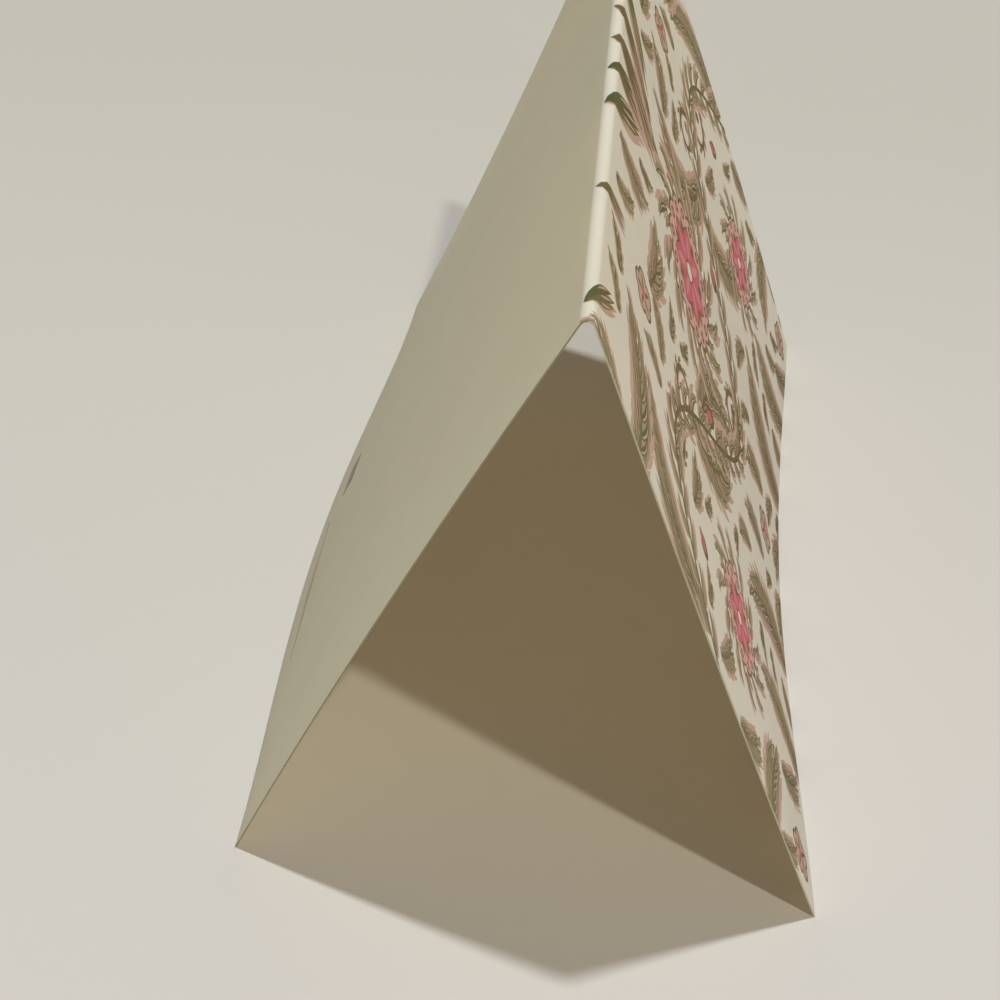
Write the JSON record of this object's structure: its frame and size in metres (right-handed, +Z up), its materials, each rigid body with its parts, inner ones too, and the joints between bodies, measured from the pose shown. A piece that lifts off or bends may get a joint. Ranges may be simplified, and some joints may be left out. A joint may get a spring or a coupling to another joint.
{
  "type": "greeting card",
  "caption": "Folded greeting card standing as a tent: one creased sheet with a printed front panel and a plain back panel, slightly warped.",
  "frame": {"origin": "on the table, under the middle of the card's box", "axes": "+X from the plain back panel to the printed front panel, +Y along the fold, +Z up"},
  "size_m": [0.102, 0.178, 0.1165],
  "materials": {
    "card_stock": "uncoated matte cream card, printed on the front panel"
  },
  "bodies": {
    "root": {"folded_card": "card_stock"}
  },
  "joints": []
}
